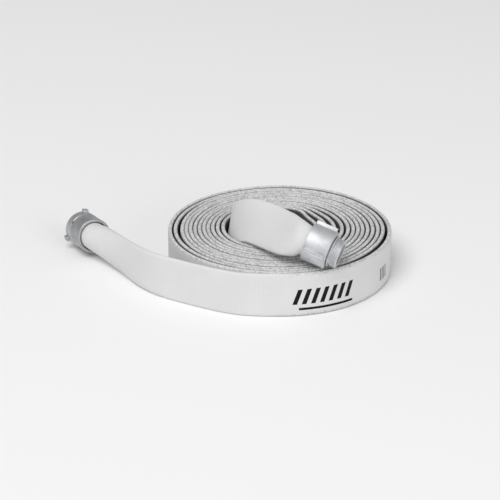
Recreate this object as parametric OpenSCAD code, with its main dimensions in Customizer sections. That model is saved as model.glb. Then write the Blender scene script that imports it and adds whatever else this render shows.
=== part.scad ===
// Rolled double-jacket fire hose with a threaded male coupling and a female swivel coupling.
// Millimetres, +Z up. The roll lies flat on Z = 0, and the origin is under the middle of the footprint.

/* [Hose] */
// Width of the hose when it is flat
hose_width = 80; // [76:0.5:80]
// Thickness of the flat hose
hose_thick = 7.2; // [6.8:0.1:7.3]
// Outer radius of the hose where it is round, in a coupling
hose_round_r = 26.3; // [26:0.1:26.4]
// Wall of the outer jacket
outer_jacket_wall = 1.2; // [1.1:0.1:1.2]
// Wall of the inner jacket
inner_jacket_wall = 1.0; // [0.9:0.1:1]
// Wall of the lining
lining_wall = 1.0; // [0.8:0.1:1]

/* [Roll] */
// Outer radius of the roll
roll_r = 198; // [194:1:200]
// Radius of the eye, to the middle of the last turn
eye_r = 90; // [90:0.5:91]

/* [Couplings] */
// Radius of the male thread's crest, 1.5 inch hose thread
male_thread_r = 25.27; // [24:0.01:26]
// Radius of the female thread's crest
female_thread_r = 23.9; // [23:0.01:24.2]
// Length of the male thread
male_thread_len = 14; // [10:0.5:16]
// Radius of the waterway
waterway_r = 19.05; // [17:0.05:19.5]
// Outer radius of the male coupling's bowl
male_bowl_r = 33.5; // [31:0.1:34]
// Outer radius of the female coupling's bowl
female_bowl_r = 31.5; // [30:0.1:32]
// Outer radius of the swivel
swivel_r = 32; // [31:0.1:32]
// Height of the lugs and ribs
lug_height = 5.5; // [3:0.1:7]
// Diameter of the swivel's balls
ball_d = 4; // [3.5:0.1:4]
// Number of balls in the swivel's race
ball_count = 24; // [16:1:30]

/* [Hidden] */
$fn = 96;

// Gap between one layer of the hose and the next
layer_gap = 0.1;
// Where the roll's axis stands
roll_at = [97.7, 5.4, 0];

// ---- The spiral ----
// Turns are wound anticlockwise seen from above, from the outside inwards.
start_angle = -92;
end_angle = 100 + 12 * 360;
spiral_turns = (end_angle - start_angle) / 360;
start_r = roll_r - hose_thick / 2;
pitch = (start_r - eye_r) / spiral_turns;
// The eye lies a little off the middle of the roll
eye_offset = [-8, 6];
spiral_steps = 452;

// ---- Section of the hose: half width, half thickness, round radius ----
function inset(section, d) = [for (value = section) value - d];
hose_section = [hose_width / 2, hose_thick / 2, hose_round_r];
outer_jacket_in = inset(hose_section, outer_jacket_wall);
inner_jacket_out = inset(outer_jacket_in, layer_gap);
inner_jacket_in = inset(inner_jacket_out, inner_jacket_wall);
lining_out = inset(inner_jacket_in, layer_gap);
lining_in = inset(lining_out, lining_wall);
section_sides = 16;

// ---- Male coupling: its own Z runs from the bowl's mouth to the thread ----
male_axis = [0.909, -0.296, -0.295];
male_mouth = [48, -160, 126.8];
male_bowl_len = 43;
male_neck_len = 4;
male_hose_depth = 30;
male_rib_angle = 29;
// ---- Female coupling: its own Z runs from the open end to the bowl's mouth ----
female_axis = [0.45, -0.883, 0.128];
female_end = [-364, 102, 31.8];
female_len = 61;
female_hose_end = 31;
female_lug_angle = 169;
thread_depth = 13.5;
swivel_len = 25;
swivel_gap = 0.35;
nose_r = 24.5;
running_gap = 0.08;
race_z = 21;
race_gap = 0.1;
// ---- Shared by both couplings ----
bowl_bore_r = hose_round_r + 0.2;
mouth_flare = 2;
gasket_thick = 3;
ring_out_r = lining_in[2] * cos(180 / section_sides) - 0.1;
ring_wall = 1.5;
edge = 1.2;

// ---- Routes: x, y, z, lean from upright, and how far the hose has opened from flat to round ----
tail_route = [
    [-7, -194.3, 40, 0, 0],
    [-38, -194, 40, 0, 0],
    [-68, -190, 40, 0, 0],
    [-97, -180.5, 40, 0, 0],
    [-125, -167, 40, 0, 0],
    [-152, -152.5, 40, 0, 0],
    [-179, -137, 40, 0, 0],
    [-203, -122, 40, 0, 0.02],
    [-226, -103, 40, 0, 0.06],
    [-247, -80, 40, 0, 0.13],
    [-266, -53, 40, 0, 0.24],
    [-284, -25, 40, 0, 0.38],
    [-301, 0, 40, 0, 0.56],
    [-315, 20, 40.5, 0, 0.76]];
inner_end_route = [
    [-43, 88.3, 40.5, 0, 0],
    [-62, 76, 42.5, 0, 0],
    [-78, 58, 49, 2, 0],
    [-87, 36, 60, 6, 0],
    [-88, 13, 74, 12, 0],
    [-81, -9, 91, 20, 0],
    [-67, -29, 106, 28, 0],
    [-49, -49, 114.5, 34, 0],
    [-30, -72, 118.5, 38, 0.01],
    [-14, -94, 121, 40, 0.03],
    [-2, -112, 123, 40, 0.06],
    [8, -128, 125.5, 39, 0.14],
    [18, -142, 127.5, 38, 0.3],
    [29, -152, 129, 37, 0.55],
    [38, -156.8, 129.4, 36, 0.78]];

function unit(v) = v / norm(v);

// Middle of the hose at a share of the winding, where turn counts from the start.
// The first turn lies slack at full radius and tucks in under the tail.
function turn_r(turn) = start_r - pitch * (turn < 1 ? pow(turn, 4) : turn);
function spiral_point(step, side) =
    let (turn = spiral_turns * step / spiral_steps, angle = start_angle + 360 * turn)
    eye_offset * (turn / spiral_turns) + (turn_r(turn) + side) * [cos(angle), sin(angle)];

// The hose as wound on edge: a spiral wall of one half thickness and height
module spiral_wall(half_w, half_t) {
    outline = concat(
        [for (step = [0 : spiral_steps]) spiral_point(step, half_t)],
        [for (step = [spiral_steps : -1 : 0]) spiral_point(step, -half_t)]);
    translate([0, 0, hose_width / 2 - half_w])
        linear_extrude(height = 2 * half_w)
            polygon(outline);
}

// One layer of the rolled hose: a flattened tube, open at both ends of the winding
module rolled_layer(outside, inside) {
    translate(roll_at)
        difference() {
            spiral_wall(outside[0], outside[1]);
            spiral_wall(inside[0], inside[1]);
        }
}

// A flat, rounded or round section: straight sides between two half circles
function section_point(section, open, side) =
    let (b = section[1] + (section[2] - section[1]) * open,
        a = section[0] + (section[2] - section[0]) * open,
        angle = 360 * (side + 0.5) / section_sides)
    [sign(cos(angle)) * (a - b) + b * cos(angle), b * sin(angle)];

// Direction of travel at a point of a route, with a given direction at both ends
function heading(route, i, first, last) =
    i == 0 ? first
    : i == len(route) - 1 ? last
    : let (back = unit([for (k = [0 : 2]) route[i][k] - route[i - 1][k]]),
        on = unit([for (k = [0 : 2]) route[i + 1][k] - route[i][k]]))
        unit(back + on);

function ring(row, along, section) =
    let (up = unit([0, 0, 1] - along[2] * along),
        left = cross(up, along),
        wide = cos(row[3]) * up + sin(row[3]) * left,
        thick = cross(along, wide))
    [for (side = [0 : section_sides - 1])
        let (p = section_point(section, row[4], side))
        [row[0], row[1], row[2]] + p[0] * wide + p[1] * thick];

function rings(route, section, first, last) =
    [for (i = [0 : len(route) - 1]) each ring(route[i], heading(route, i, first, last), section)];

// One layer of a free stretch of hose: a tube swept along a route
module swept_layer(route, outside, inside, first, last) {
    n = section_sides;
    m = len(route) * n;
    wall_points = concat(rings(route, outside, first, last), rings(route, inside, first, last));
    // Each quad is split so that the two flats of a layer stay parallel where it leans
    sides = [for (i = [0 : len(route) - 2], j = [0 : n - 1])
        let (a = i * n + j, b = i * n + (j + 1) % n, c = a + n, d = b + n)
        each (j < n / 2
            ? [[a, b, d], [a, d, c], [m + a, m + d, m + b], [m + a, m + c, m + d]]
            : [[a, b, c], [b, d, c], [m + a, m + c, m + b], [m + b, m + c, m + d]])];
    ends = [for (j = [0 : n - 1])
        let (k = (j + 1) % n, z = m - n)
        each [[j, m + k, k], [j, m + j, m + k],
            [z + j, z + k, m + z + k], [z + j, m + z + k, m + z + j]]];
    translate(roll_at)
        polyhedron(points = wall_points, faces = concat(sides, ends), convexity = 10);
}

// The free stretches end straight and round, inside the couplings' bowls
function straight_end(mouth, axis, depths, lean) =
    [for (d = depths) let (p = mouth + d * axis) [p[0], p[1], p[2], lean, 1]];
male_dir = unit(male_axis);
female_dir = unit(female_axis);
female_mouth = female_end + female_len * female_dir;
spiral_end = spiral_point(spiral_steps, 0);
inner_end_start = [[spiral_end[0], spiral_end[1], hose_width / 2, 0, 0]];
inner_end_full = concat(inner_end_start, inner_end_route,
    straight_end(male_mouth, male_dir, [-2, 8, male_hose_depth], 36));
tail_full = concat(tail_route,
    straight_end(female_mouth, -female_dir, [-2, 8, female_len - female_hose_end], 0));
tail_first = [-cos(start_angle + 90), -sin(start_angle + 90), 0];
inner_first = [cos(end_angle + 90), sin(end_angle + 90), 0];

module tail_layer(outside, inside) {
    swept_layer(tail_full, outside, inside, tail_first, -female_dir);
}

module inner_end_layer(outside, inside) {
    swept_layer(inner_end_full, outside, inside, inner_first, male_dir);
}

module outer_jacket_roll() {
    color("gainsboro") rolled_layer(hose_section, outer_jacket_in);
}

module inner_jacket_roll() {
    color("whitesmoke") rolled_layer(inner_jacket_out, inner_jacket_in);
}

module lining_roll() {
    color("dimgray") rolled_layer(lining_out, lining_in);
}

module outer_jacket_tail() {
    color("gainsboro") tail_layer(hose_section, outer_jacket_in);
}

module inner_jacket_tail() {
    color("whitesmoke") tail_layer(inner_jacket_out, inner_jacket_in);
}

module lining_tail() {
    color("dimgray") tail_layer(lining_out, lining_in);
}

module outer_jacket_inner_end() {
    color("gainsboro") inner_end_layer(hose_section, outer_jacket_in);
}

module inner_jacket_inner_end() {
    color("whitesmoke") inner_end_layer(inner_jacket_out, inner_jacket_in);
}

module lining_inner_end() {
    color("dimgray") inner_end_layer(lining_out, lining_in);
}

// Places a coupling: its own Z along the axis, from a point, turned about itself
module place(at, axis) {
    dir = unit(axis);
    translate(roll_at + at)
        rotate([0, acos(dir[2]), atan2(dir[1], dir[0])])
            children();
}

// A ring of rectangular section
module tube_ring(outer_r, inner_r, z0, z1) {
    translate([0, 0, z0])
        difference() {
            cylinder(r = outer_r, h = z1 - z0);
            translate([0, 0, -1]) cylinder(r = inner_r, h = z1 - z0 + 2);
        }
}

// A turned blank whose profile is a list of [radius, z], closed on the inside at a bore radius
module turned(profile, bore_r) {
    last = len(profile) - 1;
    rotate_extrude()
        polygon(concat([[bore_r, profile[0][1]]], profile, [[bore_r, profile[last][1]]]));
}

// A rib or lug that stands out of a barrel, with a groove along its crown
module lug(barrel_r, z0, z1, width, groove) {
    root = 2;
    difference() {
        translate([barrel_r - root, -width / 2, z0])
            cube([lug_height + root, width, z1 - z0]);
        translate([barrel_r + lug_height - 0.8, -groove / 2, z0 - 1])
            cube([2, groove, z1 - z0 + 2]);
    }
}

// The space that the hose, its gasket and its expansion ring fill, from the mouth inwards
module bowl_space(mouth_z, floor_z) {
    way = sign(floor_z - mouth_z);
    depth = abs(floor_z - mouth_z);
    translate([0, 0, min(mouth_z, floor_z) - (way > 0 ? 1 : 0)])
        cylinder(r = bowl_bore_r, h = depth + 1);
    translate([0, 0, mouth_z - way * 0.01])
        mirror([0, 0, way > 0 ? 0 : 1])
            cylinder(r1 = bowl_bore_r + mouth_flare, r2 = bowl_bore_r, h = 2 * mouth_flare);
}

module male_coupling() {
    thread_z = male_bowl_len + male_neck_len;
    end_z = thread_z + male_thread_len;
    groove_r = male_thread_r - 1.2;
    collar_r = male_thread_r + 2.4;
    color("silver")
        place(male_mouth, male_axis)
            difference() {
                union() {
                    turned([
                        [male_bowl_r - edge, 0],
                        [male_bowl_r, edge],
                        [male_bowl_r, male_bowl_len - 2 * edge],
                        [male_bowl_r - 2 * edge, male_bowl_len],
                        [groove_r, male_bowl_len],
                        [groove_r, male_bowl_len + 1.5],
                        [collar_r, male_bowl_len + 1.5],
                        [collar_r, thread_z],
                        [male_thread_r, thread_z],
                        [male_thread_r, end_z - edge],
                        [male_thread_r - edge, end_z]], waterway_r);
                    for (k = [0 : 2])
                        rotate([0, 0, male_rib_angle + 120 * k])
                            lug(male_bowl_r, edge, male_bowl_len - 3 * edge, 8, 1.6);
                }
                bowl_space(0, male_hose_depth + gasket_thick);
            }
}

module male_expansion_ring() {
    color("goldenrod")
        place(male_mouth, male_axis)
            tube_ring(ring_out_r, ring_out_r - ring_wall, 3, male_hose_depth - 0.2);
}

module male_tail_gasket() {
    color("black")
        place(male_mouth, male_axis)
            tube_ring(bowl_bore_r - 0.2, waterway_r + 0.5, male_hose_depth,
                male_hose_depth + gasket_thick);
}

// The groove that the balls run in, half in the nose and half in the swivel
module ball_race() {
    translate([0, 0, race_z])
        rotate_extrude()
            translate([nose_r + running_gap / 2, 0])
                circle(r = ball_d / 2 + race_gap);
}

module female_bowl() {
    floor_z = female_hose_end - gasket_thick;
    nose_z = thread_depth + 3.5;
    color("silver")
        place(female_end, female_axis)
            difference() {
                turned([
                    [nose_r, nose_z],
                    [nose_r, swivel_len + swivel_gap],
                    [female_bowl_r - edge, swivel_len + swivel_gap],
                    [female_bowl_r, swivel_len + swivel_gap + edge],
                    [female_bowl_r, female_len - edge],
                    [female_bowl_r - edge, female_len]], waterway_r);
                bowl_space(female_len, floor_z);
                ball_race();
            }
}

module female_expansion_ring() {
    color("goldenrod")
        place(female_end, female_axis)
            tube_ring(ring_out_r, ring_out_r - ring_wall, female_hose_end + 0.2, female_len - 3);
}

module female_tail_gasket() {
    color("black")
        place(female_end, female_axis)
            tube_ring(bowl_bore_r - 0.2, waterway_r + 0.5, female_hose_end - gasket_thick,
                female_hose_end);
}

module female_swivel() {
    gasket_r = nose_r + 1.1;
    color("darkgray")
        place(female_end, female_axis)
            rotate([0, 0, female_lug_angle])
                difference() {
                    union() {
                        turned([
                            [swivel_r - edge, 0],
                            [swivel_r, edge],
                            [swivel_r, swivel_len - 6],
                            [female_bowl_r, swivel_len - 5.5],
                            [female_bowl_r, swivel_len - edge],
                            [female_bowl_r - edge, swivel_len]], female_thread_r);
                        for (k = [0 : 2])
                            rotate([0, 0, 120 * k])
                                lug(swivel_r, edge, 13, 9, 2);
                    }
                    translate([0, 0, -0.01])
                        cylinder(r1 = male_thread_r + 0.6, r2 = female_thread_r, h = 2);
                    translate([0, 0, thread_depth])
                        cylinder(r = gasket_r, h = 3.5);
                    translate([0, 0, thread_depth])
                        cylinder(r = nose_r + running_gap, h = swivel_len);
                    ball_race();
                    plug_hole();
                }
}

module swivel_gasket() {
    color("black")
        place(female_end, female_axis)
            tube_ring(nose_r + 0.9, waterway_r + 0.4, thread_depth + 0.2,
                thread_depth + 0.2 + gasket_thick);
}

// The balls that join the swivel to the bowl
module swivel_balls() {
    color("lightsteelblue")
        place(female_end, female_axis)
            for (k = [0 : ball_count - 1])
                rotate([0, 0, 360 * (k + 0.75) / ball_count])
                    translate([nose_r + running_gap / 2, 0, race_z])
                        sphere(r = ball_d / 2, $fn = 24);
}

plug_r = 2.6;
plug_angle = 60;
race_top_r = nose_r + ball_d / 2 + race_gap + 0.2;

module plug_hole() {
    rotate([0, 0, plug_angle])
        translate([nose_r, 0, race_z])
            rotate([0, 90, 0])
                cylinder(r = plug_r, h = 12);
}

// The plug that closes the hole the balls are loaded through
module ball_race_plug() {
    slot = 0.8;
    color("gray")
        place(female_end, female_axis)
            rotate([0, 0, female_lug_angle + plug_angle])
                translate([race_top_r, 0, race_z])
                    rotate([0, 90, 0])
                        difference() {
                            cylinder(r = plug_r - 0.05, h = female_bowl_r - 0.3 - race_top_r);
                            translate([-slot / 2, -5, female_bowl_r - 0.3 - race_top_r - 1])
                                cube([slot, 10, 2]);
                        }
}

outer_jacket_roll();
inner_jacket_roll();
lining_roll();
outer_jacket_tail();
inner_jacket_tail();
lining_tail();
outer_jacket_inner_end();
inner_jacket_inner_end();
lining_inner_end();
male_coupling();
male_expansion_ring();
male_tail_gasket();
female_bowl();
female_expansion_ring();
female_tail_gasket();
female_swivel();
swivel_gasket();
swivel_balls();
ball_race_plug();
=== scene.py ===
"""Looks of a rolled double-jacket fire hose and its two couplings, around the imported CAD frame.

Sizes in the code are millimetres; meshes are made in metres, in the frame's own axes.
The roll lies flat on the floor. Its tail runs out to a female swivel coupling, and its inner end
rises out of the eye to a threaded male coupling that lies on the turns.
"""

import math

import bpy
import numpy as np
from bpy.props import FloatProperty, FloatVectorProperty, PointerProperty
from mathutils import Matrix, Vector


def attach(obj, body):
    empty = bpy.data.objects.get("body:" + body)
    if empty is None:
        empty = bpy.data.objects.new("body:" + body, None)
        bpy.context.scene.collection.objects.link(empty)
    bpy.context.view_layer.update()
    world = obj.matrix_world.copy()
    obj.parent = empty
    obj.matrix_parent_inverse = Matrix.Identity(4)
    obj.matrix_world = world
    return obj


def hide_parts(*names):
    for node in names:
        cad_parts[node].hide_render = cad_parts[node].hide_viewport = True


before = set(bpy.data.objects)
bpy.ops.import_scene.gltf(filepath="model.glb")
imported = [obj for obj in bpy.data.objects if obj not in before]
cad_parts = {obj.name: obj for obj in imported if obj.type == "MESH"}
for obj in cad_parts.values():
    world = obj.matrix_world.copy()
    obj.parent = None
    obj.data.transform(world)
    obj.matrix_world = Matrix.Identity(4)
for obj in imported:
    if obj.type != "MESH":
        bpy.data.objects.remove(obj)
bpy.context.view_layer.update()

bl_info = {
    "name": "Rolled fire hose",
    "version": (1, 0, 0),
    "blender": (4, 5, 0),
    "location": "View3D > Sidebar > Fire hose",
    "description": "Builds a rolled double-jacket fire hose with its couplings",
    "category": "Object",
}

MM = 0.001

# ---- The design's own numbers, in millimetres and degrees ----
ROLL_AT = np.array([97.7, 5.4, 0.0])
HOSE_W, HOSE_T, ROUND_R = 80.0, 7.2, 26.3
OUTER_WALL, INNER_WALL, LINING_WALL, LAYER_GAP = 1.2, 1.0, 1.0, 0.1
START_ANGLE, TURNS = -92.0, 12 + 192 / 360
START_R, EYE_R = 194.4, 90.0
PITCH = (START_R - EYE_R) / TURNS
EYE_OFFSET = np.array([-8.0, 6.0])
# How far the first, second and later turns bulge at the tail's side
SIDE_SLACK = (5.0, 6.8, 2.4)

MALE_AXIS = Vector((0.909, -0.296, -0.295)).normalized()
MALE_MOUTH = Vector((48, -160, 126.8))
MALE_BOWL, MALE_NECK, MALE_THREAD, MALE_DEPTH = 43.0, 4.0, 14.0, 30.0
MALE_RIB_ANGLE = 29.0
FEMALE_AXIS = Vector((0.45, -0.883, 0.128)).normalized()
FEMALE_END = Vector((-364, 102, 31.8))
FEMALE_LEN, FEMALE_HOSE_END, FEMALE_LUG_ANGLE = 61.0, 31.0, 169.0
SWIVEL_LEN, SWIVEL_GAP, THREAD_DEPTH = 25.0, 0.35, 13.5
NOSE_R, RUNNING_GAP, RACE_Z, RACE_R = 24.5, 0.08, 21.0, 2.1
PLUG_ANGLE, PLUG_HOLE_R = 60.0, 2.6
WATERWAY, BOWL_BORE, MOUTH_FLARE, GASKET = 19.05, 26.5, 2.0, 3.0
THREAD_PITCH, THREAD_HIGH = 25.4 / 9, 1.6
THREAD_FOOT, THREAD_CROWN = 2.9, 0.8
LUG_HIGH = 5.5

# Centre of the hose where it is free: x, y, z, lean from upright, share opened from flat to round
TAIL = [
    (-7, -194.3, 40, 0, 0), (-38, -194, 40, 0, 0), (-68, -190, 40, 0, 0),
    (-97, -180.5, 40, 0, 0), (-125, -167, 40, 0, 0), (-152, -152.5, 40, 0, 0),
    (-179, -137, 40, 0, 0), (-203, -122, 40, 0, 0.02), (-226, -103, 40, 0, 0.06),
    (-247, -80, 40, 0, 0.13), (-266, -53, 40, 0, 0.24), (-284, -25, 40, 0, 0.38),
    (-301, 0, 40, 0, 0.56), (-315, 20, 40.5, 0, 0.76)]
INNER_END = [
    (-43, 88.3, 40.5, 0, 0), (-62, 76, 42.5, 0, 0), (-78, 58, 49, 2, 0),
    (-87, 36, 60, 6, 0), (-88, 13, 74, 12, 0), (-81, -9, 91, 20, 0),
    (-67, -29, 106, 28, 0), (-49, -49, 114.5, 34, 0), (-30, -72, 118.5, 38, 0),
    (-14, -94, 121, 40, 0.01), (-2, -112, 123, 40, 0.04), (8, -128, 125.5, 39, 0.1),
    (18, -142, 127.5, 38, 0.24), (29, -152, 129, 37, 0.5), (38, -156.8, 129.4, 36, 0.76)]


# ---------------------------------------------------------------- the hose's path
def near(angle, centre, width, power=2):
    """1 at an angle round the roll and 0 away from it."""
    off = (angle - centre + 180.0) % 360.0 - 180.0
    return math.exp(-abs(off / width) ** power)


def fade(turn, first, last):
    """1 at the turn called first, falling to 0 at the turn called last, and 0 before first."""
    return 0.0 if turn < first else max(0.0, 1 - (turn - first) / (last - first))


def turn_radius(turn):
    """Radius of the hose's middle: slack outer turns at two sides and a tuck by the eye."""
    angle = START_ANGLE + 360 * turn
    wound = turn ** 4 if turn < 1 else turn
    late = max(0.0, 1 - (TURNS - turn) / 4) ** 1.5
    slack = SIDE_SLACK[min(max(0, math.floor(turn - 0.27)), len(SIDE_SLACK) - 1)]
    return (START_R - PITCH * wound
            - 3.4 * near(angle, -32, 30) * fade(turn, 0.8, 7)
            + slack * near(angle, 187, 48)
            - 5.5 * near(angle, 190, 45) * late
            - 21 * near(angle, 18, 36, 4) * late)


def spiral_row(turn):
    angle = math.radians(START_ANGLE + 360 * turn)
    # Neighbouring turns share one slow wave, and each has a small one of its own
    wave = 0.5 * math.sin(3 * angle + 0.4) + 0.35 * math.sin(5 * angle + 1.7)
    own = 0.08 * math.sin(2.3 * angle + 0.9) + 0.05 * math.sin(4.7 * angle + 2.0)
    calm = min(1.0, turn * 2, (TURNS - turn) * 2)
    r = turn_radius(turn) + (wave + own) * calm
    x, y = EYE_OFFSET * turn / TURNS + r * np.array([math.cos(angle), math.sin(angle)])
    rise = 0.45 + 0.45 * math.sin(1.37 * angle + 0.6) * calm
    return (x, y, HOSE_W / 2 + rise, 0.6 * math.sin(0.83 * angle) * calm, 0.0, 1.0, turn)


def end_rows(free, mouth, axis, depth, lean, turn, step):
    """Rows of a free end and of the straight stretch in its bowl, drawn in a little at the mouth."""
    rows = [row + (1.0,) for row in free]
    for d, size in ((-3, 0.94), (4, 0.94), (15, 1.0), (depth, 1.0)):
        rows.append(tuple(mouth + axis * d) + (lean, 1.0, size))
    return [row + (turn + step * (i + 1),) for i, row in enumerate(rows)]


def hose_rows():
    """Rows of centre, lean, opening, size and turn, from the female bowl to the male one."""
    tail = end_rows(TAIL, FEMALE_END + FEMALE_AXIS * FEMALE_LEN, -FEMALE_AXIS,
                    FEMALE_LEN - FEMALE_HOSE_END, 0, 0, -0.05)
    steps = int(TURNS * 72)
    spiral = [spiral_row(TURNS * i / steps) for i in range(steps + 1)]
    inner = end_rows(INNER_END, MALE_MOUTH, MALE_AXIS, MALE_DEPTH, 36, TURNS, 0.05)
    return np.array(tail[:0:-1] + spiral + inner, float)


def smooth(rows, step):
    """The same rows on one smooth curve, a step apart."""
    gap = np.linalg.norm(np.diff(rows[:, :3], axis=0), axis=1)
    t = np.r_[0, np.cumsum(gap)]
    slope = np.empty_like(rows)
    d = np.diff(rows, axis=0) / gap[:, None]
    slope[1:-1] = (d[:-1] * gap[1:, None] + d[1:] * gap[:-1, None]) / (gap[1:] + gap[:-1])[:, None]
    slope[0], slope[-1] = d[0], d[-1]
    s = np.linspace(0, t[-1], int(t[-1] / step) + 1)
    i = np.clip(np.searchsorted(t, s, side="right") - 1, 0, len(gap) - 1)
    h = gap[i][:, None]
    u = ((s - t[i]) / gap[i])[:, None]
    return (rows[i] * (2 * u ** 3 - 3 * u ** 2 + 1) + slope[i] * h * (u ** 3 - 2 * u ** 2 + u)
            + rows[i + 1] * (3 * u ** 2 - 2 * u ** 3) + slope[i + 1] * h * (u ** 3 - u ** 2)), s


# ---------------------------------------------------------------- the hose's section
def section_shares(fold_points, flat_points, half_w, half_t):
    """Share of the way round for each point of the flat section, close together at the folds."""
    arc, flat = math.pi * half_t, 2 * (half_w - half_t)
    whole = 2 * (arc + flat)
    fold = [(k / (fold_points - 1) - 0.5) * arc for k in range(fold_points)]
    side = [arc / 2 + flat * (k + 1) / (flat_points + 1) for k in range(flat_points)]
    half = np.array(fold + side) / whole
    return np.concatenate([half, half + 0.5])


def stadium(a, b, share):
    """Point at a share of the way round a flat, rounded or round section."""
    arc, flat = math.pi * b, 2 * (a - b)
    whole = 2 * (arc + flat)
    d = (share * whole + arc / 2) % whole
    side = 1.0
    if d >= whole / 2:
        d, side = d - whole / 2, -1.0
    if d < arc:
        turned_by = d / b - math.pi / 2
        return side * ((a - b) + b * math.cos(turned_by)), side * b * math.sin(turned_by)
    along = (a - b) - (d - arc)
    # The hose is a little thinner between its folds than at them
    hollow = 1 - 0.07 * math.cos(math.pi / 2 * along / (a - b)) ** 2 * min(1.0, (a - b) / 30)
    return side * along, side * b * hollow


def ramp(value, low, high):
    """0 below low, 1 above high, and a smooth rise between them."""
    x = np.clip((value - low) / (high - low), 0, 1)
    return x * x * (3 - 2 * x)


def hose_section(a, b, share, opened):
    """Point of the hose's section: flat with rounded folds, then an oval, then a circle."""
    flat = np.array(stadium(a, b, share))
    oval = np.array([a * math.cos(2 * math.pi * share), b * math.sin(2 * math.pi * share)])
    return flat + (oval - flat) * ramp(opened, 0.0, 0.3)


def frames(rows):
    """Directions along the hose, across its width and through its thickness at each row."""
    p = rows[:, :3]
    along = np.gradient(p, axis=0)
    along /= np.linalg.norm(along, axis=1)[:, None]
    up = np.array([0, 0, 1.0]) - along[:, 2:3] * along
    up /= np.linalg.norm(up, axis=1)[:, None]
    left = np.cross(up, along)
    lean = np.radians(rows[:, 3:4])
    wide = np.cos(lean) * up + np.sin(lean) * left
    return along, wide, np.cross(along, wide)


def spread(opened, shares_flat):
    """Share of the way round of each point of a ring: close at the folds when flat, even when round."""
    n = len(shares_flat)
    ease = min(1.0, max(0.0, opened) * 2.5) ** 0.6
    return shares_flat * (1 - ease) + (np.arange(n) / n + shares_flat[0]) * ease


def swept_points(rows, inset, shares_flat):
    """Rings of points round the hose, one per row, inset mm inside the outer face."""
    n = len(shares_flat)
    _, wide, thick = frames(rows)
    rings = np.empty((len(rows), n, 3))
    for i, row in enumerate(rows):
        opened = min(1.0, max(0.0, row[4]))
        b = (HOSE_T / 2 + (ROUND_R - HOSE_T / 2) * opened) * row[5] - inset
        a = (HOSE_W / 2 + (ROUND_R - HOSE_W / 2) * opened) * row[5] - inset
        for k, share in enumerate(spread(opened, shares_flat)):
            w, t = hose_section(a, b, share, opened)
            rings[i, k] = row[:3] + w * wide[i] + t * thick[i]
    return (rings + ROLL_AT) * MM


def cover(turn, shares, round_len):
    """How far each point is shut in by the next turn, where shade is painted on, and how far it belongs to
    the wound roll.
    """
    from_fold = np.minimum(shares % 0.5, 0.5 - shares % 0.5) * round_len / MM
    outward = (shares > 0) & (shares < 0.5)
    end = 1 - ramp(turn, TURNS - 0.05, TURNS + 0.12)
    facing_out = ramp(turn, 0.97, 1.03) * end
    facing_in = ramp(turn, 0.0, 0.06) * end
    sides = np.where(outward[None, :], facing_out[:, None], facing_in[:, None])
    # The next turn shuts a point in from 2.6 to 6.4 mm past the middle of its fold, and there the fabric
    # gets painted shade
    painted_gap_shade = sides * ramp(from_fold, 2.6, 6.4)[None, :]
    wound = (ramp(turn, -0.03, 0.08) * end)[:, None] * np.ones(len(shares))[None, :]
    return painted_gap_shade, wound


def roll_start(step):
    """Metres along the hose, from its female end, to where the winding starts."""
    rows, way = smooth(hose_rows(), step)
    return float(np.interp(0.0, rows[:, 6], way)) * MM


def hose_layer(name, outside, inside, step, fold_points, flat_points):
    """One woven or rubber tube of the hose, from end to end, with a UV map in metres."""
    rows, way = smooth(hose_rows(), step)
    shares = section_shares(fold_points, flat_points, HOSE_W / 2, HOSE_T / 2)
    n, m = len(shares), len(rows)
    outer = swept_points(rows, outside, shares).reshape(-1, 3)
    inner = swept_points(rows, inside, shares).reshape(-1, 3)
    i, k = np.meshgrid(np.arange(m - 1), np.arange(n), indexing="ij")
    a, b = i * n + k, i * n + (k + 1) % n
    skin = np.stack([a, a + n, b + n, b], -1).reshape(-1, 4)
    back = skin[:, ::-1] + m * n
    k = np.arange(n)
    k1 = (k + 1) % n
    first = np.stack([k, k1, k1 + m * n, k + m * n], -1)
    z = (m - 1) * n
    last = np.stack([k + z, k + z + m * n, k1 + z + m * n, k1 + z], -1)
    faces = np.concatenate([skin, back, first, last])
    mesh = bpy.data.meshes.new(name)
    mesh.from_pydata(np.concatenate([outer, inner]).tolist(), [], faces.tolist())
    # Metres along the hose, and metres round its flat section from the middle of a fold
    round_len = (4 * (HOSE_W - HOSE_T) / 2 + math.pi * HOSE_T) * MM
    u = np.repeat(way * MM, n)
    v = np.concatenate([spread(row[4], shares) for row in rows]) * round_len
    u, v = np.tile(u, 2), np.tile(v, 2)
    loops = faces.reshape(-1)
    us = u[loops].reshape(-1, 4)
    vs = v[loops].reshape(-1, 4)
    wrap = (vs.max(1) - vs.min(1)) > round_len / 2
    vs[wrap] = np.where(vs[wrap] < round_len / 2, vs[wrap] + round_len, vs[wrap])
    layer = mesh.uv_layers.new(name="along_and_round")
    layer.data.foreach_set("uv", np.stack([us, vs], -1).reshape(-1).astype(np.float32))
    # Masks for the shade painted between turns and for the wound roll, kept as point attributes
    painted_gap_shade, wound = cover(rows[:, 6], shares, round_len)
    for title, values in (("painted_gap_shade", painted_gap_shade), ("wound", wound)):
        field = mesh.attributes.new(title, "FLOAT", "POINT")
        field.data.foreach_set("value", np.tile(values.reshape(-1), 2).astype(np.float32))
    mesh.validate()
    mesh.update()
    obj = bpy.data.objects.new(name, mesh)
    bpy.context.scene.collection.objects.link(obj)
    smooth_faces(obj, 40)
    return obj


# ---------------------------------------------------------------- modelling helpers
def only(obj):
    """Makes obj the one selected and active object."""
    bpy.ops.object.select_all(action="DESELECT")
    obj.select_set(True)
    bpy.context.view_layer.objects.active = obj


def smooth_faces(obj, angle):
    only(obj)
    bpy.ops.object.shade_smooth_by_angle(angle=math.radians(angle))


def apply_modifier(obj, kind, **settings):
    only(obj)
    bpy.ops.object.modifier_add(type=kind)
    modifier = obj.modifiers[-1]
    for key, value in settings.items():
        setattr(modifier, key, value)
    bpy.ops.object.modifier_apply(modifier=modifier.name)


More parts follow.
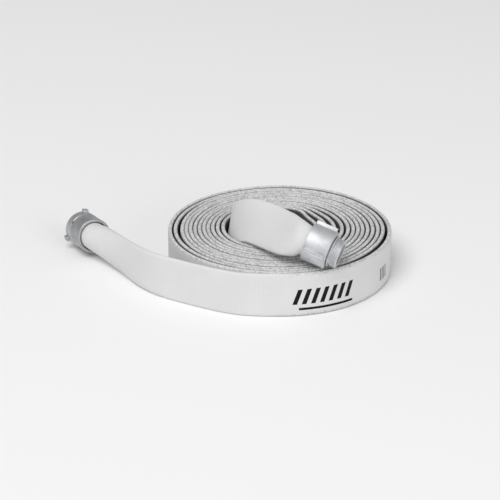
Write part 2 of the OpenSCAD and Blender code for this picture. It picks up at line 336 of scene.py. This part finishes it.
def turned(name, profile, sides=128):
    """A turned ring, drawn out from a circle along a closed profile of (radius, z) in mm."""
    bpy.ops.object.select_all(action="DESELECT")
    r0, z0 = profile[0]
    bpy.ops.mesh.primitive_circle_add(vertices=sides, radius=r0 * MM, location=(0, 0, 0))
    obj = bpy.context.object
    obj.name = obj.data.name = name
    bpy.ops.object.mode_set(mode="EDIT")
    bpy.ops.mesh.select_all(action="SELECT")
    bpy.ops.transform.translate(value=(0, 0, z0 * MM))
    for (ra, za), (rb, zb) in zip(profile, profile[1:] + profile[:1]):
        bpy.ops.mesh.extrude_region_move(TRANSFORM_OT_translate={"value": (0, 0, (zb - za) * MM)})
        bpy.ops.transform.resize(value=(rb / ra, rb / ra, 1), center_override=(0, 0, zb * MM))
    bpy.ops.mesh.select_all(action="SELECT")
    bpy.ops.mesh.remove_doubles(threshold=0.02 * MM)
    bpy.ops.mesh.normals_make_consistent(inside=False)
    bpy.ops.object.mode_set(mode="OBJECT")
    return obj


def ridge(name, low_r, high_r, z0, turns):
    """A helical thread ridge with blunt ends, its low side sunk in the metal."""
    bpy.ops.object.select_all(action="DESELECT")
    bpy.ops.mesh.primitive_plane_add(size=1)
    obj = bpy.context.object
    obj.name = name
    corners = {(-1, -1): (low_r, -THREAD_FOOT / 2), (-1, 1): (low_r, THREAD_FOOT / 2),
               (1, 1): (high_r, THREAD_CROWN / 2), (1, -1): (high_r, -THREAD_CROWN / 2)}
    for v in obj.data.vertices:
        r, z = corners[(round(v.co.x * 2), round(v.co.y * 2))]
        v.co = (r * MM, 0, (z + z0) * MM)
    bpy.ops.object.mode_set(mode="EDIT")
    bpy.ops.mesh.select_all(action="SELECT")
    bpy.ops.mesh.delete(type="ONLY_FACE")
    bpy.ops.object.mode_set(mode="OBJECT")
    apply_modifier(obj, "SCREW", screw_offset=THREAD_PITCH * MM, iterations=turns, steps=72,
                   render_steps=72, axis="Z", use_smooth_shade=False)
    bpy.ops.object.mode_set(mode="EDIT")
    bpy.ops.mesh.select_all(action="SELECT")
    bpy.ops.mesh.fill_holes(sides=4)
    bpy.ops.mesh.select_all(action="SELECT")
    bpy.ops.mesh.normals_make_consistent(inside=False)
    bpy.ops.object.mode_set(mode="OBJECT")
    return obj


def block(name, low, high, bevel, groove=0.0, groove_deep=0.0):
    """A rib or lug between two corners, rounded, with a groove along its crown (its +X face)."""
    bpy.ops.object.select_all(action="DESELECT")
    low, high = Vector(low) * MM, Vector(high) * MM
    bpy.ops.mesh.primitive_cube_add(size=1, location=(low + high) / 2)
    obj = bpy.context.object
    obj.name = name
    obj.scale = high - low
    bpy.ops.object.transform_apply(location=True, rotation=True, scale=True)
    if groove:
        bpy.ops.object.mode_set(mode="EDIT")
        for side in (-1, 1):
            bpy.ops.mesh.select_all(action="SELECT")
            bpy.ops.mesh.bisect(plane_co=(0, side * groove / 2 * MM, 0), plane_no=(0, 1, 0))
        bpy.ops.mesh.select_all(action="DESELECT")
        bpy.ops.object.mode_set(mode="OBJECT")
        for face in obj.data.polygons:
            face.select = face.normal.x > 0.9 and abs(face.center.y) < groove / 2 * MM
        bpy.ops.object.mode_set(mode="EDIT")
        bpy.ops.mesh.select_mode(type="FACE")
        bpy.ops.mesh.extrude_region_move(
            TRANSFORM_OT_translate={"value": (-groove_deep * MM, 0, 0)})
        bpy.ops.mesh.select_mode(type="VERT")
        bpy.ops.object.mode_set(mode="OBJECT")
    apply_modifier(obj, "BEVEL", width=bevel * MM, segments=3, limit_method="ANGLE",
                   angle_limit=math.radians(40))
    return obj


def turn_about_z(obj, degrees):
    obj.rotation_euler = (0, 0, math.radians(degrees))
    only(obj)
    bpy.ops.object.transform_apply(location=True, rotation=True, scale=True)


def combine(obj, other, how="UNION"):
    """Adds another solid to a solid, or cuts it away, and drops the other."""
    apply_modifier(obj, "BOOLEAN", operation=how, object=other, solver="EXACT")
    bpy.data.objects.remove(other)


def put_on_axis(obj, at, axis):
    """Moves a piece made along Z to a coupling's place, into its mesh."""
    flat = math.atan2(axis.y, axis.x)
    tilt = math.acos(axis.z)
    obj.matrix_world = (Matrix.Translation((Vector(ROLL_AT) + at) * MM)
                        @ Matrix.Rotation(flat, 4, "Z") @ Matrix.Rotation(tilt, 4, "Y"))
    only(obj)
    bpy.ops.object.transform_apply(location=True, rotation=True, scale=True)


# ---------------------------------------------------------------- materials
def linear(hex_colour):
    """Linear colour of an sRGB hex value such as "#C0C4C8"."""
    values = [int(hex_colour[i:i + 2], 16) / 255 for i in (1, 3, 5)]
    return tuple(v / 12.92 if v <= 0.04045 else ((v + 0.055) / 1.055) ** 2.4 for v in values) + (1,)


MATH, MIX, RANGE = "ShaderNodeMath", "ShaderNodeMix", "ShaderNodeMapRange"
NOISE, SPLIT, BUMP = "ShaderNodeTexNoise", "ShaderNodeSeparateXYZ", "ShaderNodeBump"


def add(tree, kind, links=(), out=0, **settings):
    """Adds a node and gives one of its outputs.

    links holds values or other nodes' outputs for its inputs, in their order or by key.
    """
    node = tree.nodes.new(kind)
    for key, value in settings.items():
        setattr(node, key, value)
    for key, value in (links.items() if isinstance(links, dict) else enumerate(links)):
        socket = node.inputs[key]
        if isinstance(value, bpy.types.NodeSocket):
            tree.links.new(value, socket)
        else:
            socket.default_value = value
    return node.outputs[out]


def blank(name):
    material = bpy.data.materials.new(name)
    material.use_nodes = True
    tree = material.node_tree
    tree.nodes.clear()
    shader = tree.nodes.new("ShaderNodeBsdfPrincipled")
    out = tree.nodes.new("ShaderNodeOutputMaterial")
    tree.links.new(shader.outputs["BSDF"], out.inputs["Surface"])
    return material, tree, shader


def band(tree, value, low, high):
    """1 where low < value < high, else 0."""
    above = add(tree, MATH, (value, low), operation="GREATER_THAN")
    below = add(tree, MATH, (value, high), operation="LESS_THAN")
    return add(tree, MATH, (above, below), operation="MULTIPLY")


def patch(tree, x, x_range, y, y_range):
    """1 inside a rectangle of x and y, else 0."""
    return add(tree, MATH, (band(tree, x, *x_range), band(tree, y, *y_range)), operation="MULTIPLY")


def woven_jacket(name, yarn_hex, shade_and_soil_hex, yarn_mm, mark_from):
    """Woven polyester yarn, bleached and unpainted: matt, with a faint sheen at grazing angles.

    Warp yarns lie along the hose and weft yarns round it, each over one and under the next.
    The yarns are drawn about twice as coarse as the real 1.1 mm, to show at this size.
    The wound folds are scuffed and speckled. The fabric shut between turns is painted dark as shade,
    darker than clean cloth would be, so that the gaps between turns read as deep.
    """
    material, tree, shader = blank(name)
    uv = add(tree, "ShaderNodeUVMap", out="UV", uv_map="along_and_round")
    along = add(tree, SPLIT, (uv,))
    around = along.node.outputs[1]
    # Share of the fabric painted dark as shade where the turns shut it in
    painted_gap_shade = add(tree, "ShaderNodeAttribute", out="Fac", attribute_name="painted_gap_shade")
    wound = add(tree, "ShaderNodeAttribute", out="Fac", attribute_name="wound")
    yarn = yarn_mm * MM

    half_round = (2 * (HOSE_W - HOSE_T) + math.pi * HOSE_T) / 2 * MM
    from_fold = add(tree, MATH, (around, half_round / 2), operation="PINGPONG")
    at_fold = add(tree, RANGE, (from_fold, 4 * MM, 9 * MM, 1.0, 0.0))
    fold = add(tree, MATH, (wound, at_fold), operation="MULTIPLY")

    # Both sets of yarns wander a little from straight
    drift = add(tree, NOISE, {"Vector": uv, "Scale": 90.0, "Detail": 2.0})
    drift = add(tree, MATH, (drift, 0.5), operation="SUBTRACT")
    drift = add(tree, MATH, (drift, 0.9), operation="MULTIPLY")
    warp = add(tree, MATH, (along, math.pi / yarn, drift), operation="MULTIPLY_ADD")
    warp = add(tree, MATH, (warp,), operation="SINE")
    weft = add(tree, MATH, (around, math.pi / yarn, drift), operation="MULTIPLY_ADD")
    weft = add(tree, MATH, (weft,), operation="SINE")
    crossing = add(tree, MATH, (warp, weft), operation="MULTIPLY")
    crossing = add(tree, MATH, (crossing,), operation="ABSOLUTE")
    height = add(tree, MATH, (crossing, 0.5), operation="POWER")

    fuzz = add(tree, NOISE, {"Vector": uv, "Scale": 900.0, "Detail": 3.0})
    soil = add(tree, NOISE, {"Vector": uv, "Scale": 9.0, "Detail": 4.0})
    nubs = add(tree, "ShaderNodeTexVoronoi", {"Vector": uv, "Scale": 1 / (1.3 * yarn)}, out="Color")
    nub = add(tree, SPLIT, (nubs,))

    # Painted shade: the dips between yarns are tinted up to 0.45 of the way to the darker colour
    gap = add(tree, RANGE, (height, 0.05, 0.55, 0.45, 0.0))
    soiled = add(tree, RANGE, (soil, 0.35, 0.75, 0.0, 0.14))
    scuffed = add(tree, RANGE, (nub, 0.3, 1.0, 0.0, 0.52))
    speckle = add(tree, MATH, (fold, scuffed), operation="MULTIPLY")
    # The darker colour is both painted shade in the yarn dips and soil in broad blotches
    tints = [(gap, shade_and_soil_hex), (soiled, shade_and_soil_hex), (speckle, "#77767A")]
    if mark_from is not None:
        tints.append((printed_bars(tree, along, around, mark_from), "#060607"))
    # Painted shade: fabric shut in between turns, and the innermost turn's face towards the eye, is tinted
    # near black
    tints.append((painted_gap_shade, "#262628"))
    colour = linear(yarn_hex)
    for share, tint in tints:
        colour = add(tree, MIX, {0: share, 6: colour, 7: linear(tint)}, out=2, data_type="RGBA")
    tree.links.new(colour, shader.inputs["Base Color"])

    relief = add(tree, MATH, (fuzz, 0.35, height), operation="MULTIPLY_ADD")
    scuff = add(tree, MATH, (fold, nub), operation="MULTIPLY")
    relief = add(tree, MATH, (scuff, 1.6, relief), operation="MULTIPLY_ADD")
    bump = add(tree, BUMP, {"Height": relief, "Strength": 0.7, "Distance": 0.3 * MM})
    tree.links.new(bump, shader.inputs["Normal"])
    shader.inputs["Roughness"].default_value = 0.9
    shader.inputs["Specular IOR Level"].default_value = 0.3
    shader.inputs["Sheen Weight"].default_value = 0.06
    shader.inputs["Sheen Roughness"].default_value = 0.5
    return material


def printed_bars(tree, along, around, mark_from):
    """Plain black mark on the outer face: seven slanted bars over a line, and four short bars."""
    bar_pitch, bar, slant = 16.0, (3.0, 11.0), 0.35
    post_pitch, post = 7.0, (2.0, 5.0)
    # Half a fold is 2.05 mm longer round than it is high
    top = HOSE_W + 2.05
    x = add(tree, MATH, (along, mark_from), operation="SUBTRACT")
    x = add(tree, MATH, (x, 1 / MM), operation="MULTIPLY")
    y = add(tree, MATH, (around, 1 / MM), operation="MULTIPLY")
    y = add(tree, MATH, (top, y), operation="SUBTRACT")
    shift = add(tree, MATH, (y, slant), operation="MULTIPLY")
    slanted = add(tree, MATH, (x, shift), operation="SUBTRACT")
    in_bar = add(tree, MATH, (slanted, bar_pitch), operation="MODULO")
    in_post = add(tree, MATH, (x, post_pitch), operation="MODULO")
    bars = add(tree, MATH, (band(tree, in_bar, *bar), patch(tree, slanted, (19.0, 125.0), y, (22.0, 50.0))),
               operation="MULTIPLY")
    line = patch(tree, x, (38.0, 139.0), y, (11.0, 15.5))
    posts = add(tree, MATH, (band(tree, in_post, *post), patch(tree, x, (217.0, 245.0), y, (18.0, 42.0))),
                operation="MULTIPLY")
    under = add(tree, MATH, (line, posts), operation="MAXIMUM")
    return add(tree, MATH, (bars, under), operation="MAXIMUM")


def machined(name, light_hex, dark_hex, rough, lathe_mm, axis_at, axis):
    """Metal with fine rings round its axis, in highlights as broad as rough says.

    The couplings are turned and satin anodised aluminium, so their highlights are broad and soft.
    """
    material, tree, shader = blank(name)
    where = add(tree, "ShaderNodeTexCoord", out="Object")
    # Distance along the coupling's axis drives the turning marks
    spot = add(tree, "ShaderNodeVectorMath", (where, tuple(axis_at)), operation="SUBTRACT")
    along = add(tree, "ShaderNodeVectorMath", (spot, tuple(axis)), out="Value", operation="DOT_PRODUCT")
    cloud = add(tree, NOISE, {"Vector": where, "Scale": 60.0, "Detail": 4.0})
    rings = add(tree, MATH, (along, 2 * math.pi / (lathe_mm * MM), cloud), operation="MULTIPLY_ADD")
    rings = add(tree, MATH, (rings,), operation="SINE")
    grain = add(tree, NOISE, {"Vector": where, "Scale": 1400.0, "Detail": 2.0})
    shade = add(tree, RANGE, (cloud, 0.3, 0.7, 0.0, 1.0))
    colour = add(tree, MIX, {0: shade, 6: linear(light_hex), 7: linear(dark_hex)}, out=2,
                 data_type="RGBA")
    tree.links.new(colour, shader.inputs["Base Color"])
    relief = add(tree, MATH, (rings, 0.4, grain), operation="MULTIPLY_ADD")
    bump = add(tree, BUMP, {"Height": relief, "Strength": 0.25, "Distance": 0.05 * MM})
    tree.links.new(bump, shader.inputs["Normal"])
    roughness = add(tree, RANGE, (cloud, 0.2, 0.8, rough - 0.06, rough + 0.08))
    tree.links.new(roughness, shader.inputs["Roughness"])
    shader.inputs["Metallic"].default_value = 1.0
    return material


def rubber(name, hex_colour, rough):
    """Black vulcanised rubber, moulded or extruded: a dull broad highlight and fine bloom."""
    material, tree, shader = blank(name)
    where = add(tree, "ShaderNodeTexCoord", out="Object")
    bloom = add(tree, NOISE, {"Vector": where, "Scale": 120.0, "Detail": 5.0})
    haze = add(tree, RANGE, (bloom, 0.45, 0.8, 0.0, 0.35))
    colour = add(tree, MIX, {0: haze, 6: linear(hex_colour), 7: linear("#3A3A3C")}, out=2,
                 data_type="RGBA")
    tree.links.new(colour, shader.inputs["Base Color"])
    bump = add(tree, BUMP, {"Height": bloom, "Strength": 0.3, "Distance": 0.1 * MM})
    tree.links.new(bump, shader.inputs["Normal"])
    shader.inputs["Roughness"].default_value = rough
    return material


def use(obj, material):
    obj.data.materials.clear()
    obj.data.materials.append(material)
    for face in obj.data.polygons:
        face.material_index = 0


def finish_piece(obj, material, body, slot, *nodes):
    use(obj, material)
    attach(obj, body)
    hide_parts(*nodes)


# ---------------------------------------------------------------- settings
class HOSE_PG_jacket(bpy.types.PropertyGroup):
    yarn: FloatProperty(name="Yarn", description="Spacing of the woven yarns as drawn, in mm",
                        default=2.2, min=0.5, max=5.0)
    row_step: FloatProperty(name="Row step", description="Distance between rings of the mesh, in mm",
                            default=9.5, min=4.0, max=20.0)


class HOSE_PG_stage(bpy.types.PropertyGroup):
    elevation: FloatProperty(name="Elevation", description="Camera's height angle",
                             default=math.radians(24.34), subtype="ANGLE")
    distance: FloatProperty(name="Distance", description="Camera's distance from the roll",
                            default=4.0, unit="LENGTH")
    lens: FloatProperty(name="Lens", description="Focal length in mm", default=160.9)
    floor_colour: FloatVectorProperty(name="Floor", description="Colour of the floor",
                                      subtype="COLOR", size=3, default=(0.93, 0.93, 0.93))


# ---------------------------------------------------------------- operators
class HOSE_OT_stage(bpy.types.Operator):
    """Camera, soft studio light and a plain pale floor"""
    bl_idname = "hose.stage"
    bl_label = "Stage"

    def execute(self, context):
        scene, settings = context.scene, context.scene.hose_stage
        e = settings.elevation
        away = Vector((0, -math.cos(e), math.sin(e)))
        middle = Vector(ROLL_AT) * MM + Vector((0, 0, 0.04))
        camera = bpy.data.objects.new("camera", bpy.data.cameras.new("camera"))
        scene.collection.objects.link(camera)
        camera.location = middle + away * settings.distance
        look = middle + Vector((-53.7, -8.5, 0)) * MM
        camera.rotation_euler = (look - camera.location).to_track_quat("-Z", "Y").to_euler()
        camera.data.lens = settings.lens
        camera.data.sensor_width = 36
        camera.data.clip_end = 50
        scene.camera = camera

        bpy.ops.object.select_all(action="DESELECT")
        bpy.ops.mesh.primitive_plane_add(size=14, location=(0, 0, -0.0002))
        floor = context.object
        floor.name = "floor"
        bpy.ops.object.transform_apply(location=True, rotation=True, scale=True)
        material, _, shader = blank("studio_paper")
        shader.inputs["Base Color"].default_value = (*settings.floor_colour, 1)
        shader.inputs["Roughness"].default_value = 0.9
        use(floor, material)

        lamps = (("key", (-2.6, -4.6, 8.0), 6.5, 540), ("fill", (5.0, -6.5, 3.0), 5.0, 150))
        for name, place, size, power in lamps:
            light = bpy.data.lights.new(name, "AREA")
            light.shape, light.size, light.energy = "DISK", size, power
            lamp = bpy.data.objects.new(name, light)
            scene.collection.objects.link(lamp)
            lamp.location = place
            lamp.rotation_euler = (middle - lamp.location).to_track_quat("-Z", "Y").to_euler()
        world = bpy.data.worlds.new("studio")
        world.use_nodes = True
        world.node_tree.nodes["Background"].inputs[0].default_value = (1, 1, 1, 1)
        world.node_tree.nodes["Background"].inputs[1].default_value = 0.42
        scene.world = world
        scene.view_settings.view_transform = "Standard"
        return {"FINISHED"}


class HOSE_OT_layers(bpy.types.Operator):
    """The hose's outer jacket, inner jacket and lining, each from coupling to coupling"""
    bl_idname = "hose.layers"
    bl_label = "Hose"

    def execute(self, context):
        settings = context.scene.hose_jacket
        second = OUTER_WALL + LAYER_GAP
        third = second + INNER_WALL + LAYER_GAP
        jacket = hose_layer("hose_outer_jacket", 0, OUTER_WALL, settings.row_step, 9, 6)
        # Yarn colour, then the darker colour used for soil and for shade painted between yarns
        finish_piece(jacket, woven_jacket("woven_polyester_jacket", "#E3E3E3", "#A2A2A3",
                                          settings.yarn, roll_start(settings.row_step)),
                     "hose", "outer_jacket", "outer_jacket_roll", "outer_jacket_tail",
                     "outer_jacket_inner_end")
        inner = hose_layer("hose_inner_jacket", second, second + INNER_WALL, 13, 6, 3)
        # Yarn colour, then the darker colour used for soil and for shade painted between yarns
        finish_piece(inner, woven_jacket("woven_inner_jacket", "#DAD8D2", "#98958E",
                                         settings.yarn, None),
                     "hose", "inner_jacket", "inner_jacket_roll", "inner_jacket_tail",
                     "inner_jacket_inner_end")
        lining = hose_layer("hose_lining", third, third + LINING_WALL, 13, 6, 3)
        finish_piece(lining, rubber("extruded_rubber_lining", "#1A1A1B", 0.45),
                     "hose", "lining", "lining_roll", "lining_tail", "lining_inner_end")
        return {"FINISHED"}


class HOSE_OT_male(bpy.types.Operator):
    """Male coupling: ribbed bowl, neck and outside thread"""
    bl_idname = "hose.male"
    bl_label = "Male coupling"

    def execute(self, context):
        crest, bowl_r = 25.27, 33.5
        root = crest - THREAD_HIGH
        thread_z = MALE_BOWL + MALE_NECK
        end_z = thread_z + MALE_THREAD
        floor_z = MALE_DEPTH + GASKET
        profile = [
            (BOWL_BORE, floor_z), (BOWL_BORE, 2 * MOUTH_FLARE), (BOWL_BORE + MOUTH_FLARE, 0),
            (bowl_r - 1.2, 0), (bowl_r - 0.35, 0.35), (bowl_r, 1.2),
            (bowl_r, MALE_BOWL - 2.4), (bowl_r - 0.8, MALE_BOWL - 0.7),
            (bowl_r - 2.6, MALE_BOWL), (root - 1.0, MALE_BOWL),
            (root - 1.0, MALE_BOWL + 2.0), (crest + 1.9, MALE_BOWL + 2.0),
            (crest + 2.4, MALE_BOWL + 2.5), (crest + 2.4, thread_z - 0.8),
            (crest + 1.6, thread_z), (root, thread_z), (root, end_z - 0.9), (root - 0.9, end_z),
            (WATERWAY + 0.6, end_z), (WATERWAY, end_z - 0.6), (WATERWAY, floor_z)]
        male = turned("male_coupling_body", profile)
        combine(male, ridge("male_ridge", root - 0.5, crest, thread_z + 1.55, 4))
        for k in range(3):
            rib = block(f"rib_{k}", (bowl_r - 2, -4, 1.2), (bowl_r + LUG_HIGH, 4, MALE_BOWL - 3.6),
                        0.7, 2.4, 1.6)
            turn_about_z(rib, MALE_RIB_ANGLE + 120 * k)
            combine(male, rib)
        smooth_faces(male, 32)
        put_on_axis(male, MALE_MOUTH, MALE_AXIS)
        alloy = machined("satin_anodised_aluminium", "#DCDDDF", "#CBCCCF", 0.62, 0.9,
                         (Vector(ROLL_AT) + MALE_MOUTH) * MM, MALE_AXIS)
        finish_piece(male, alloy, "hose", "male_alloy", "male_coupling")
        return {"FINISHED"}


def race_groove(name):
    """Solid ring of the ball race, to cut from the nose and from the swivel."""
    bpy.ops.object.select_all(action="DESELECT")
    bpy.ops.mesh.primitive_torus_add(
        major_radius=(NOSE_R + RUNNING_GAP / 2) * MM, minor_radius=RACE_R * MM,
        major_segments=96, minor_segments=16, location=(0, 0, RACE_Z * MM))
    torus = bpy.context.object
    torus.name = name
    bpy.ops.object.transform_apply(location=True, rotation=True, scale=True)
    return torus


class HOSE_OT_female(bpy.types.Operator):
    """Female coupling: the bowl on the hose and the swivel with its lugs"""
    bl_idname = "hose.female"
    bl_label = "Female coupling"

    def execute(self, context):
        bowl_r, swivel_r = 31.5, 32.0
        back_z = SWIVEL_LEN + SWIVEL_GAP
        floor_z = FEMALE_HOSE_END - GASKET
        nose_z = THREAD_DEPTH + 3.5
        bowl = turned("female_bowl_body", [
            (WATERWAY, nose_z + 0.5), (WATERWAY + 0.5, nose_z), (NOSE_R - 0.5, nose_z),
            (NOSE_R, nose_z + 0.5), (NOSE_R, back_z), (bowl_r - 1.2, back_z),
            (bowl_r - 0.35, back_z + 0.35), (bowl_r, back_z + 1.2),
            (bowl_r, FEMALE_LEN - 5.5), (bowl_r + 0.25, FEMALE_LEN - 5.0),
            (bowl_r + 0.25, FEMALE_LEN - 1.2), (bowl_r - 0.5, FEMALE_LEN - 0.2),
            (bowl_r - 1.2, FEMALE_LEN), (BOWL_BORE + 1.0, FEMALE_LEN),
            (BOWL_BORE, FEMALE_LEN - 1.5), (BOWL_BORE, floor_z),
            (WATERWAY, floor_z)])
        combine(bowl, race_groove("nose_groove"), "DIFFERENCE")
        smooth_faces(bowl, 32)
        put_on_axis(bowl, FEMALE_END, FEMALE_AXIS)
        at = (Vector(ROLL_AT) + FEMALE_END) * MM
        dull = machined("hard_anodised_aluminium", "#BDBEC0", "#A9AAAD", 0.52, 0.9, at, FEMALE_AXIS)
        finish_piece(bowl, dull, "hose", "female_alloy", "female_bowl")

        crest = 23.9
        root = crest + THREAD_HIGH
        gasket_r = NOSE_R + 1.1
        swivel = turned("female_swivel_body", [
            (root, 1.6), (root + 1.2, 0), (swivel_r - 1.2, 0), (swivel_r - 0.35, 0.35),
            (swivel_r, 1.2), (swivel_r, SWIVEL_LEN - 6), (bowl_r, SWIVEL_LEN - 5.5),
            (bowl_r, SWIVEL_LEN - 1.2), (bowl_r - 0.35, SWIVEL_LEN - 0.35),
            (bowl_r - 1.2, SWIVEL_LEN), (NOSE_R + RUNNING_GAP, SWIVEL_LEN),
            (NOSE_R + RUNNING_GAP, THREAD_DEPTH + 3.5), (gasket_r, THREAD_DEPTH + 3.5),
            (gasket_r, THREAD_DEPTH), (root, THREAD_DEPTH)])
        combine(swivel, race_groove("swivel_groove"), "DIFFERENCE")
        combine(swivel, ridge("female_ridge", root + 0.5, crest, 2.0, 3))
        for k in range(3):
            lug = block(f"lug_{k}", (swivel_r - 2, -4.5, 1.2), (swivel_r + LUG_HIGH, 4.5, 13),
                        0.9, 2.0, 0.9)
            turn_about_z(lug, 120 * k)
            combine(swivel, lug)
        bpy.ops.object.select_all(action="DESELECT")
        bpy.ops.mesh.primitive_cylinder_add(vertices=32, radius=PLUG_HOLE_R * MM, depth=12 * MM,
                                            location=((NOSE_R + 6) * MM, 0, RACE_Z * MM),
                                            rotation=(0, math.pi / 2, 0))
        hole = bpy.context.object
        bpy.ops.object.transform_apply(location=True, rotation=True, scale=True)
        turn_about_z(hole, PLUG_ANGLE)
        combine(swivel, hole, "DIFFERENCE")
        turn_about_z(swivel, FEMALE_LUG_ANGLE)
        smooth_faces(swivel, 32)
        put_on_axis(swivel, FEMALE_END, FEMALE_AXIS)
        ringed = machined("turned_aluminium_swivel", "#CDCED0", "#B9BABD", 0.48, 0.9, at, FEMALE_AXIS)
        finish_piece(swivel, ringed, "swivel", "swivel_alloy", "female_swivel")
        return {"FINISHED"}


class HOSE_OT_fittings(bpy.types.Operator):
    """Finishes of the rings, gaskets, balls and plug inside the couplings"""
    bl_idname = "hose.fittings"
    bl_label = "Rings, gaskets and balls"

    def execute(self, context):
        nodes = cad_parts
        male_at = (Vector(ROLL_AT) + MALE_MOUTH) * MM
        female_at = (Vector(ROLL_AT) + FEMALE_END) * MM
        black = rubber("moulded_nitrile_gasket", "#141415", 0.55)
        for name in ("male_tail_gasket", "female_tail_gasket", "swivel_gasket"):
            use(nodes[name], black)
        # Rolled brass: warm, and smooth enough for a fairly sharp highlight
        use(nodes["male_expansion_ring"],
            machined("rolled_brass_male", "#C9A25A", "#A97F3C", 0.3, 1.4, male_at, MALE_AXIS))
        use(nodes["female_expansion_ring"],
            machined("rolled_brass_female", "#C9A25A", "#A97F3C", 0.3, 1.4, female_at, FEMALE_AXIS))
        # Ground steel: nearly a mirror, so the highlights are small and bright
        steel = machined("ground_steel_ball", "#C8CACC", "#B4B6B9", 0.18, 0.6, female_at, FEMALE_AXIS)
        use(nodes["swivel_balls"], steel)
        # Turned steel: a darker grey, with fine rings
        plug = machined("turned_steel_plug", "#8E8F91", "#77787B", 0.35, 0.6, female_at, FEMALE_AXIS)
        use(nodes["ball_race_plug"], plug)
        return {"FINISHED"}


class HOSE_PT_panel(bpy.types.Panel):
    """Lists the hose's settings and the steps that build it"""
    bl_label = "Fire hose"
    bl_idname = "HOSE_PT_panel"
    bl_space_type = "VIEW_3D"
    bl_region_type = "UI"
    bl_category = "Fire hose"

    def draw(self, context):
        for group in (context.scene.hose_jacket, context.scene.hose_stage):
            for key in group.bl_rna.properties.keys():
                if key not in ("rna_type", "name"):
                    self.layout.prop(group, key)
        for operator in OPERATORS:
            self.layout.operator(operator.bl_idname)


OPERATORS = (HOSE_OT_stage, HOSE_OT_layers, HOSE_OT_male, HOSE_OT_female, HOSE_OT_fittings)
CLASSES = (HOSE_PG_jacket, HOSE_PG_stage) + OPERATORS + (HOSE_PT_panel,)


def register():
    for cls in CLASSES:
        bpy.utils.register_class(cls)
    bpy.types.Scene.hose_jacket = PointerProperty(type=HOSE_PG_jacket)
    bpy.types.Scene.hose_stage = PointerProperty(type=HOSE_PG_stage)


def unregister():
    del bpy.types.Scene.hose_stage
    del bpy.types.Scene.hose_jacket
    for cls in reversed(CLASSES):
        bpy.utils.unregister_class(cls)


def main():
    register()
    bpy.ops.hose.stage()
    bpy.ops.hose.layers()
    bpy.ops.hose.male()
    bpy.ops.hose.female()
    bpy.ops.hose.fittings()


if __name__ == "__main__":
    main()
